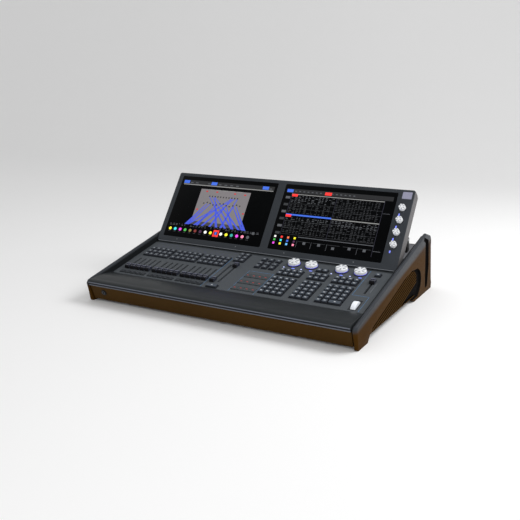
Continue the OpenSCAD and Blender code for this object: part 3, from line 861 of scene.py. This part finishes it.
def add_screens():
    bezel = surface("bezel_paint", srgb(50, 54, 59), rough=0.36, patch=80, grain=0.7, depth=0.03)
    lip = surface("bezel_lip_painted_highlight", srgb(132, 136, 142), rough=0.35, patch=80, grain=0.7, depth=0.02)
    glass = surface("touch_glass", srgb(6, 7, 8), rough=0.12, vary=0.2, patch=60, grain=6,
                    depth=0.002, gloss=0.02)
    edge_low, edge_high = islands("screen_bezel", SCREEN_FRAME)[0]
    glasses = islands("touch_glasses", SCREEN_FRAME)
    glass_gap, corner, soft_edge = 0.4, 6, 1.1
    width, length = edge_high.x - edge_low.x, edge_high.y - edge_low.y
    outline = rounded(*middle_of(edge_low, edge_high), width, length, corner, 6)
    holes = []
    for low, high in glasses:
        width, length = high.x - low.x + glass_gap, high.y - low.y + glass_gap
        holes.append(rounded(*middle_of(low, high), width, length, 3.2, 4))
    for *_, cx, cy in knob_boxes("screen_encoder", SCREEN_FRAME):
        holes.append(circle(cx, cy, 3.3))
    piece = cut_plate("bezel_frame", outline, holes, edge_low.z, edge_high.z, soft_edge,
                      SCREEN_FRAME, "screen_unit", [bezel])
    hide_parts("screen_bezel")

    shape = Shape()
    for low, high in glasses:
        width, length = high.x - low.x, high.y - low.y
        ring = rounded(*middle_of(low, high), width, length, 3, 4)
        inner = rounded(*middle_of(low, high), width - 0.8, length - 0.8, 2.7, 4)
        shape.loft([ring, ring, inner], [low.z, high.z - 0.3, high.z])
    piece = build("touch_glass_fronts", shape, SCREEN_FRAME, "screen_unit", [glass])
    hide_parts("touch_glasses")

    names, colours = screen_palette()
    chance = random.Random(7)
    for name, draw in (("display_left", left_screen), ("display_right", right_screen)):
        build(name, draw(names, chance), SCREEN_FRAME, "screen_unit", colours)

    badge = surface("blank_badge", srgb(150, 150, 172), rough=0.4, patch=10)
    silver = surface("small_screws", srgb(110, 112, 116), rough=0.35, patch=3, metallic=0.6)
    shape = Shape()
    shape.slab(374, 402, 189, 211, -0.2, 0.4, 0, 1.5)
    shape.slab(376, 400, 191, 209, 0.3, 0.5, 0, 1)
    # Painted highlight: a light strip along the bezel's bottom edge.
    shape.slab(edge_low.x + 6, edge_high.x - 6, edge_low.y + 0.8, edge_low.y + 2, -0.3, 0.3, 2, 0.4)
    for x in (-333, -111, 58, 280):
        shape.loft([circle(x, -22, r, 16) for r in (2.1, 2.1, 1.5)], [-0.3, 0.3, 0.6], 1)
    build("bezel_badge", shape, SCREEN_FRAME, "screen_unit", [badge, silver, lip])


# ---- Body mouldings ----

def smooth_path(points, steps=5):
    """Catmull-Rom curve through an open run of points."""
    run = [Vector(p) for p in points]
    run = [run[0] * 2 - run[1], *run, run[-1] * 2 - run[-2]]
    path = []
    for a, b, c, d in zip(run, run[1:], run[2:], run[3:]):
        for i in range(steps):
            t = i / steps
            path.append(0.5 * ((2 * b) + (c - a) * t + (2 * a - 5 * b + 4 * c - d) * t * t
                               + (3 * b - a - 3 * c + d) * t ** 3))
    return [tuple(p) for p in path] + [tuple(run[-2])]


def add_palm_rest():
    moulding = surface("palm_rest_moulding", srgb(41, 44, 46), rough=0.36, vary=0.06, patch=200,
                       depth=0.03, gloss=0.1)
    # Painted highlight on the lip and on a thin band along the nose, and painted shade in the groove
    # between them.
    edge = surface("nose_painted_highlight", srgb(92, 96, 106), rough=0.3, vary=0.05, patch=200, gloss=0.3)
    groove_shade = surface("nose_groove_painted_shade", srgb(14, 14, 15), rough=0.6, patch=40, gloss=0.05)
    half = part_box("palm_rest")[1].x / MM
    panel_front, core_y, core_z = 229, -270, 62
    rear_y = LINE_Y - panel_front * math.cos(SLOPE) - 0.5
    rear_z = LINE_Z - panel_front * math.sin(SLOPE)
    crown = smooth_path([(rear_y, rear_z), (-225, 70.4), (-240, 72.2), (-256, 73), (-272, 72.8),
                         (-288, 71.6), (-300, 70.1), (-309, 69.4), (-316, 67.6), (-320.5, 64),
                         (-320.8, 60), (-318, 57.6)])
    lip = smooth_path([(-313, 57), (-313.2, 56.3), (-317.2, 56), (-318.2, 54.6), (-317, 52.6),
                       (-308.5, 51.6)], 3)
    outline = crown + lip + [(-306, 56), (-300, 60), (rear_y, rear_z - 9)]
    shape = Shape()
    stations = [-half, -half + 0.8, half - 0.8, half]
    rings = []
    for x in stations:
        shrink = 0.995 if abs(x) > half - 0.4 else 1
        rings.append([(core_y + (y - core_y) * shrink, core_z + (z - core_z) * shrink)
                      for y, z in outline])
    shape.loft(rings, stations)
    # Faces at the nose: painted highlight (finish 1) on the lip and a thin band, painted shade (finish 2)
    # in the groove.
    nose_back, lip_top, groove_top, highlight_top = -312, 56.2, 61, 64
    for k, face in enumerate(shape.faces):
        y = sum(shape.points[i][0] for i in face) / len(face)
        z = sum(shape.points[i][1] for i in face) / len(face)
        if y < nose_back and len(face) == 4:
            painted_highlight = z < lip_top or groove_top < z < highlight_top
            shape.marks[k] = 1 if painted_highlight else (2 if z < groove_top else 0)
    piece = build("palm_rest_moulding", shape, SIDE_FRAME, "desk", [moulding, edge, groove_shade],
                  smooth=45)
    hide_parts("palm_rest")


def arc(cx, cy, radius, start, end, steps):
    angles = [math.radians(start + (end - start) * i / steps) for i in range(steps + 1)]
    return [(cx + radius * math.cos(a), cy + radius * math.sin(a)) for a in angles]


def fill_in(points, step):
    """Adds points so that no side of a closed outline is longer than step."""
    dense = []
    for (y0, z0), (y1, z1) in zip(points, points[1:] + points[:1]):
        count = max(1, math.ceil(math.hypot(y1 - y0, z1 - z0) / step))
        dense += [(y0 + (y1 - y0) * i / count, z0 + (z1 - z0) * i / count) for i in range(count)]
    return dense


def cheek_outline():
    """The CAD cheek's outline: foot, raised underside, rear fin and crown."""
    crown, crown_r, foot, fin_y, fin_r = 21, 12, 6, 238, 15
    nose = NOSE_Y + crown_r * FRONT_LEAN + crown_r
    degrees, lean_angle = math.degrees(SLOPE), math.atan(FRONT_LEAN)
    foot_y = NOSE_Y + (NOSE_Z - foot) * FRONT_LEAN + foot / math.cos(lean_angle)
    return (arc(foot_y, foot, foot, 180 + math.degrees(lean_angle), 270, 4)
            + [(-234.5, 0), (-222, 18), (112, 18), (150, 0), (320.5, 0), (322.5, 17), (297.5, 142)]
            + arc(264.5, 150, 33, -10, 50, 6)
            + arc(fin_y, slope_height(fin_y) + crown - fin_r, fin_r, 60, 90 + degrees, 5)
            + arc(nose, slope_height(nose) + crown - crown_r, crown_r, 90 + degrees, 190, 8))


TIGHT_EDGE, SOFT_EDGE, NOSE_EDGE = 1.2, 5.4, 10.0


def edge_radius(y, z):
    """Rounding of the cheek's outer edge: wide down the front, tight underneath."""
    underside, foot_back, nose_back, nose_run, full_height = 19, -290, -305, 9, 20
    if z < underside and y > foot_back:
        return TIGHT_EDGE
    wide = SOFT_EDGE + (NOSE_EDGE - SOFT_EDGE) * min(1.0, max(0.0, (nose_back - y) / nose_run))
    return TIGHT_EDGE + (wide - TIGHT_EDGE) * min(1.0, z / full_height)


def cheek_shell():
    """Right cheek before its recesses, round over the crown and at the front corner."""
    outline = fill_in(cheek_outline(), 14)
    inner, outer = CHEEK_INNER, CHEEK_OUTER
    count = len(outline)
    bends = []
    for k, (y, z) in enumerate(outline):
        (py, pz), (ny, nz) = outline[k - 1], outline[(k + 1) % count]
        inward = Vector((-(nz - pz), ny - py)).normalized()
        bends.append((inward, edge_radius(y, z)))
    steps = 14
    shares = [0.5 - 0.5 * math.cos(math.pi * i / steps) for i in range(steps + 1)]
    xs = [inner + (outer - inner) * share for share in shares]
    rings = []
    for x in xs:
        ring = []
        for (y, z), (inward, radius) in zip(outline, bends):
            near_outer = max(0.0, x - (outer - radius))
            near_inner = max(0.0, inner + min(radius, SOFT_EDGE) - x)
            reach = min(radius, max(near_outer, near_inner))
            inset = radius - math.sqrt(max(0.0, radius ** 2 - reach ** 2))
            ring.append((y + inward.x * inset, z + inward.y * inset))
        rings.append(ring)
    shape = Shape()
    shape.loft(rings, xs)
    return shape


def recess_cutter(outline):
    shape = Shape()
    shape.loft([outline, outline], [RECESS_FLOOR, CHEEK_OUTER + 5])
    return shape


def inside(outline, y, z):
    """Whether a point lies within a closed outline."""
    crossings = 0
    for (y0, z0), (y1, z1) in zip(outline, outline[1:] + outline[:1]):
        if (z0 > z) != (z1 > z) and y < y0 + (y1 - y0) * (z - z0) / (z1 - z0):
            crossings += 1
    return crossings % 2 == 1


def paint_recess_shade(mesh, outline):
    """Second finish, a painted shade, on the faces whose front side lies within a recess."""
    for face in mesh.polygons:
        x, y, z = (face.center + face.normal * 0.5 * MM) / MM
        within = x > RECESS_FLOOR - 0.1 and face.center.x < (CHEEK_OUTER - 0.1) * MM
        if within and inside(outline, y, z):
            face.material_index = 1


def mirrored(mesh):
    """Left-hand copy of a right-hand mesh."""
    twin = mesh.copy()
    twin.transform(Matrix.Scale(-1, 4, (1, 0, 0)))
    twin.flip_normals()
    return twin


def subtract(piece, shape, space):
    """Cuts a Shape out of a piece for good."""
    mesh = mesh_from("cutter", shape, space)
    fix_normals(mesh)
    cutter = bpy.data.objects.new("cutter", mesh)
    bpy.context.scene.collection.objects.link(cutter)
    cut = piece.modifiers.new("cut", "BOOLEAN")
    cut.operation, cut.solver, cut.object = "DIFFERENCE", "EXACT", cutter
    graph = bpy.context.evaluated_depsgraph_get()
    result = bpy.data.meshes.new_from_object(piece.evaluated_get(graph))
    piece.modifiers.remove(cut)
    piece.data = result
    bpy.data.objects.remove(cutter)


def add_cheeks():
    # Bronze cheek with a slate crown that is partly its own grey and partly painted reflection.
    bronze = bronze_and_painted_reflection("cheek_bronze_and_painted_reflection", srgb(68, 44, 13), srgb(55, 58, 63))
    # Painted shade: a dark finish on the walls and floor of the vent and the fin slot.
    recess = surface("recess_wall_painted_shade", srgb(24, 23, 23), rough=0.5, patch=40, gloss=0.0)
    vent = ([(-203, 33), (-216, 10), (178, 10)] + arc(164, 53, 42, -50, 60, 10)
            + [(164.5, 99), (105, 104), (34.5, 95), (-71.5, 67)])
    slot = (arc(264, 28, 13, 180, 360, 8) + [(280, 84), (268, 150), (262, 166)]
            + [(216, 182), (213, 171), (232, 162)])
    right = build("cheek_right_moulding", cheek_shell(), SIDE_FRAME, "desk", [bronze, recess])
    fix_normals(right.data)
    for outline in (vent, slot):
        subtract(right, recess_cutter(outline), SIDE_FRAME)
        paint_recess_shade(right.data, outline)
    right.data.shade_smooth()
    right.data.set_sharp_from_angle(angle=math.radians(30))
    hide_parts("cheek_right")
    left = link_piece("cheek_left_moulding", mirrored(right.data), "desk", [], smooth=30)
    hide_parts("cheek_left")


def add_lamp_socket():
    """Plated ring around the bore of the lamp socket on the leaning front sheet."""
    plated = surface("lamp_socket_ring", srgb(92, 94, 98), rough=0.35, patch=4, metallic=0.6)
    socket_x, sheet_y, sheet_z, drop = -366, -312, 51, 18
    space = (SCALE @ Matrix.Translation((socket_x, sheet_y + drop * FRONT_LEAN, sheet_z - drop))
             @ Matrix.Rotation(math.pi / 2 + math.atan(FRONT_LEAN), 4, "X"))
    shape = Shape()
    steps = [(5.4, 2.3), (5.4, 2.9), (3.4, 2.9), (3.4, 2.3), (5.4, 2.3)]
    shape.loft([circle(0, 0, r, 32) for r, _ in steps], [h for _, h in steps], cap=False)
    build("lamp_socket_ring", shape, space, "desk", [plated])


# ---- CAD nodes that keep their shape ----

def dress_cad_nodes():
    slate = surface("panel_paint", srgb(77, 81, 85), rough=0.5, vary=0.08, patch=90, grain=0.8, gloss=0.08)
    deck = surface("deck_paint", srgb(108, 109, 113), rough=0.45, patch=90, grain=0.8, gloss=0.1)
    rail = surface("rail_moulding", srgb(28, 30, 32), rough=0.42, patch=90, gloss=0.1)
    fascia = surface("fascia_bronze", srgb(66, 46, 19), rough=0.42, patch=120, grain=0.8,
                     depth=0.03, gloss=0.03)
    # Slats: bronze outside, painted shade on the faces inside the vent.
    slats = slat_bronze_and_painted_shade("slat_bronze_painted_shade", srgb(72, 52, 28), srgb(9, 8, 8))
    black_metal = surface("black_powder_coat", srgb(34, 35, 38), rough=0.6, patch=60, grain=0.6, depth=0.08)
    black_plastic = surface("black_plastic", srgb(26, 27, 29), rough=0.45, patch=14)
    rubber = surface("rubber", srgb(24, 24, 25), rough=0.85, patch=14, grain=1.2, depth=0.1)
    case = surface("case_paint", srgb(92, 90, 91), rough=0.42, patch=90, grain=0.7)
    metal = surface("plated_steel", srgb(176, 178, 182), rough=0.3, patch=20, metallic=0.9)
    board = surface("board_mask", srgb(24, 70, 44), rough=0.4, patch=12)
    dress("control_panel", slate)
    dress("rear_deck", deck)
    dress("side_rails", rail)
    dress("front_fascia", fascia)
    dress("louvres", slats)
    dress("connectors", black_plastic)
    dress("rubber_feet", rubber, 1.0)
    dress("screen_housing", case)
    dress("circuit_boards", board)
    for node in ("hinge_brackets", "hinge_lugs"):
        dress(node, black_plastic, 0.8)
    for node in ("hinge_pins", "encoder_modules", "power_supply"):
        dress(node, metal)
    for node in ("base_tray", "rear_panel", "display_panels", "fader_tracks"):
        dress(node, black_metal)


# ---- Scene ----

add_camera()
add_studio()
add_floor()
dress_cad_nodes()
add_keys()
add_faders()
add_encoders()
add_wheel()
add_prints()
add_lamps()
add_screens()
add_palm_rest()
add_cheeks()
add_lamp_socket()
